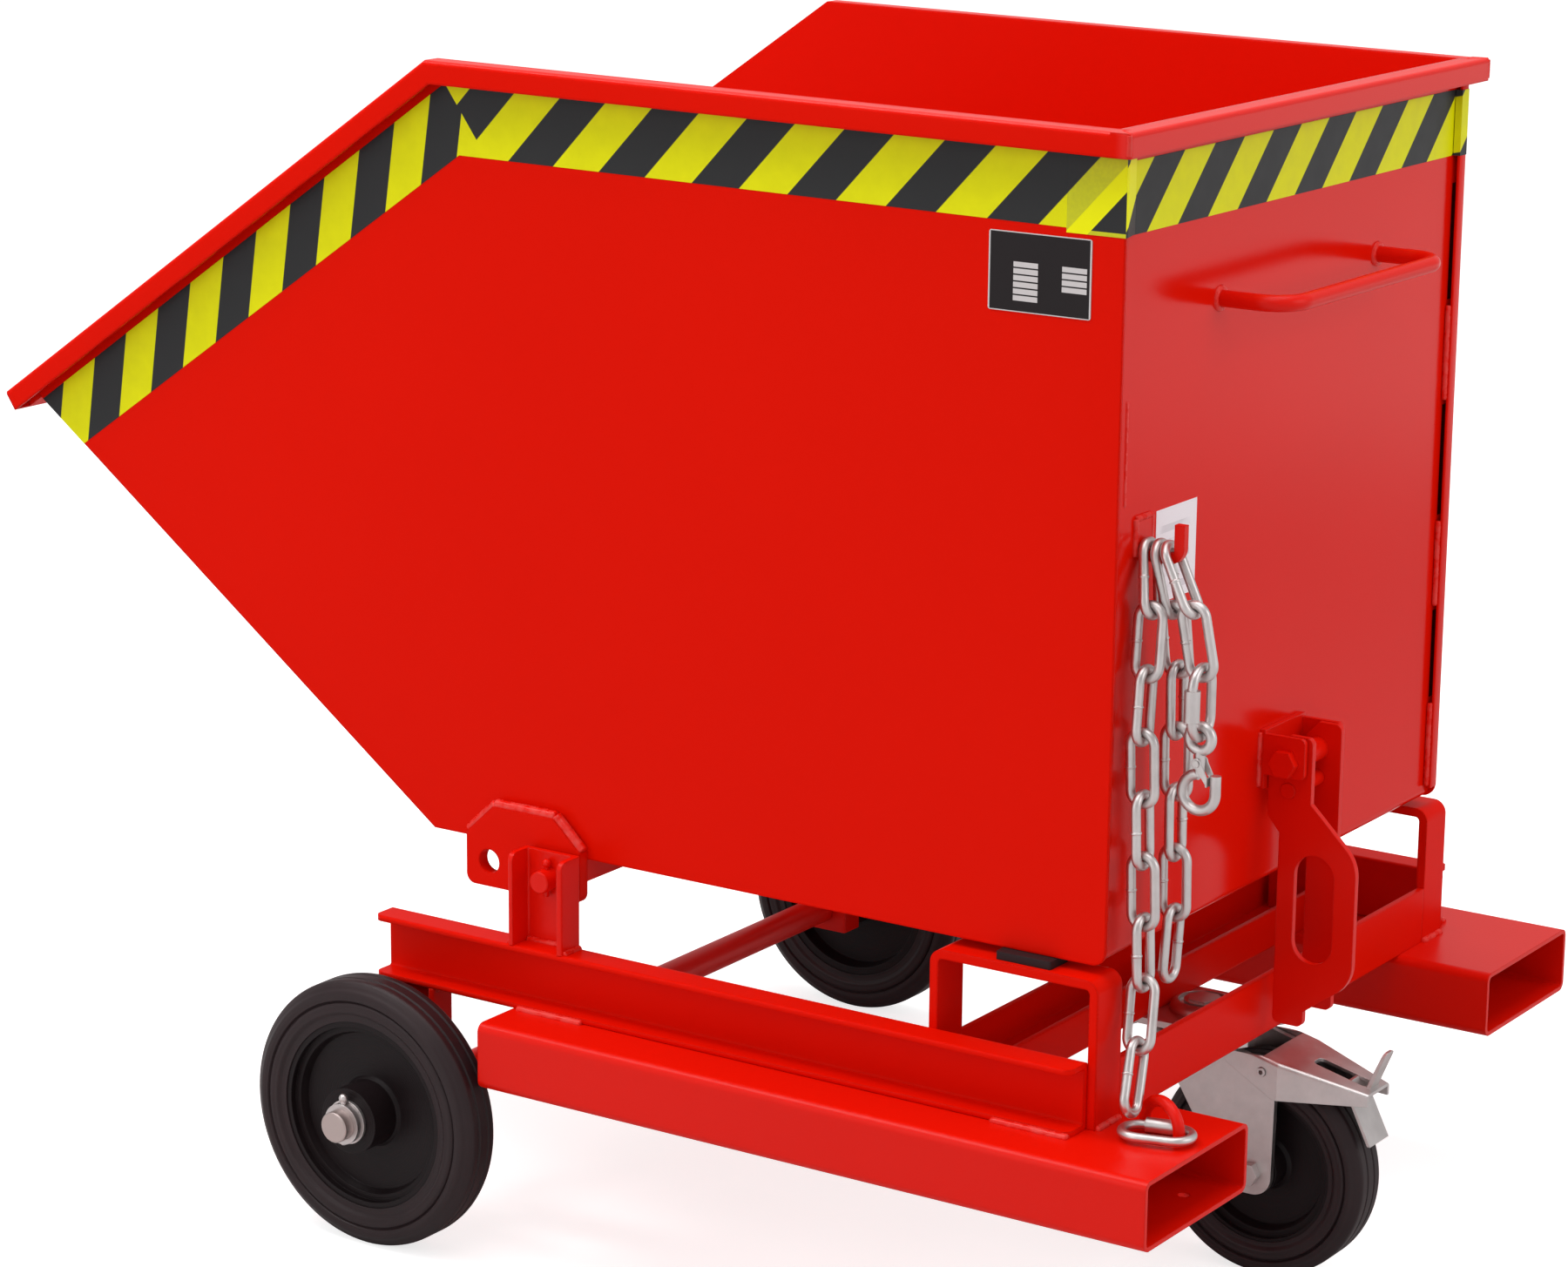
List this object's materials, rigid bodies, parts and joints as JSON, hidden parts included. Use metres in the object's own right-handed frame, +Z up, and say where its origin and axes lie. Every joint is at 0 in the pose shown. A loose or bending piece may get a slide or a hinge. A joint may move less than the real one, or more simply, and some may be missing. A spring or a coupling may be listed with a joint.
{
  "type": "box trolley",
  "caption": "Steel tipping box trolley: a skip with a sloping front, hinged on a frame with fork pockets, fixed front wheels, a braked castor, a lock lever and a safety chain.",
  "frame": {"origin": "centre of the bounding box on the floor", "axes": "+X forward to the tipping lip, +Y to the left side, +Z up"},
  "size_m": [1.2894, 0.917, 1.049],
  "materials": {
    "red_paint": "semi-gloss red paint",
    "zinc": "zinc plated",
    "axle_steel": "bare steel with paint overspray",
    "tyre_rubber": "matt solid rubber",
    "wheel_black": "moulded, satin",
    "pad_rubber": "matt",
    "warning_tape": "yellow and black striped film",
    "plate_black": "printed film, blank fields",
    "paper": "white paper label, blank"
  },
  "bodies": {
    "frame": {"pocket_left": "red_paint", "pocket_right": "red_paint", "rail_left": "red_paint", "rail_right": "red_paint", "hinge_post_left": "red_paint", "hinge_post_right": "red_paint", "axle_bracket_left": "red_paint", "axle_bracket_right": "red_paint", "support_left": "red_paint", "support_right": "red_paint", "support_pads": "pad_rubber", "rear_angle": "red_paint", "cross_channel": "red_paint", "hinge_pins": "red_paint", "hinge_washers": "red_paint", "hinge_cotters": "red_paint", "front_axle": "axle_steel", "axle_washers": "zinc", "axle_collars": "zinc", "axle_cotters": "zinc", "chain_eye": "red_paint", "eye_quick_link": "zinc", "castor_plate": "zinc", "castor_bolts": "zinc", "castor_race": "zinc"},
    "skip": {"skip_wall_left": "red_paint", "skip_wall_right": "red_paint", "trough": "red_paint", "rim": "red_paint", "lug_left": "red_paint", "lug_right": "red_paint", "stiffener": "red_paint", "push_handle": "red_paint", "chain_hook": "red_paint", "chain_tail": "zinc", "chain_loop": "zinc", "chain_end": "zinc", "end_quick_link": "zinc", "safety_hook": "zinc", "lock_bracket": "red_paint", "lock_bolt": "red_paint", "side_tape_left": "warning_tape", "side_tape_right": "warning_tape", "rear_tape": "warning_tape", "type_plate": "plate_black", "paper_label": "paper"},
    "lever": {"lever_grip_plate": "red_paint", "lever_plain_plate": "red_paint", "lever_spacer": "red_paint", "lever_pin": "red_paint"},
    "latch": {"hook_latch": "zinc"},
    "left_wheel": {"wheel_left": "wheel_black", "tyre_left": "tyre_rubber"},
    "right_wheel": {"wheel_right": "wheel_black", "tyre_right": "tyre_rubber"},
    "castor": {"castor_fork": "zinc", "castor_axle": "zinc"},
    "castor_roller": {"castor_wheel": "wheel_black", "castor_tyre": "tyre_rubber"},
    "pedal": {"brake_pedal": "zinc"}
  },
  "joints": [
    {"name": "skip_tip", "type": "hinge", "parent": "frame", "child": "skip", "pos_m": [0.01125, 0, 0.345], "axis": [0, 1, 0], "range_deg": [0, 55]},
    {"name": "lock_lever", "type": "hinge", "parent": "skip", "child": "lever", "pos_m": [-0.55175, 0, 0.475], "axis": [0, 1, 0], "range_deg": [0, 35]},
    {"name": "hook_latch", "type": "hinge", "parent": "skip", "child": "latch", "pos_m": [-0.58685, 0.258, 0.53214], "axis": [0, -1, 0], "range_deg": [0, 25], "stiffness_Nm_per_rad": 0.02},
    {"name": "left_wheel_roll", "type": "hinge", "parent": "frame", "child": "left_wheel", "pos_m": [0.15325, 0.4, 0.1225], "axis": [0, 1, 0], "continuous": true},
    {"name": "right_wheel_roll", "type": "hinge", "parent": "frame", "child": "right_wheel", "pos_m": [0.15325, -0.4, 0.1225], "axis": [0, 1, 0], "continuous": true},
    {"name": "castor_swivel", "type": "hinge", "parent": "frame", "child": "castor", "pos_m": [-0.46175, 0, 0.211], "axis": [0, 0, 1], "continuous": true},
    {"name": "castor_roll", "type": "hinge", "parent": "castor", "child": "castor_roller", "pos_m": [-0.53175, 0, 0.1], "axis": [0, 1, 0], "continuous": true},
    {"name": "brake_pedal", "type": "hinge", "parent": "castor", "child": "pedal", "pos_m": [-0.54175, 0, 0.196], "axis": [0, -1, 0], "range_deg": [0, 5]}
  ]
}
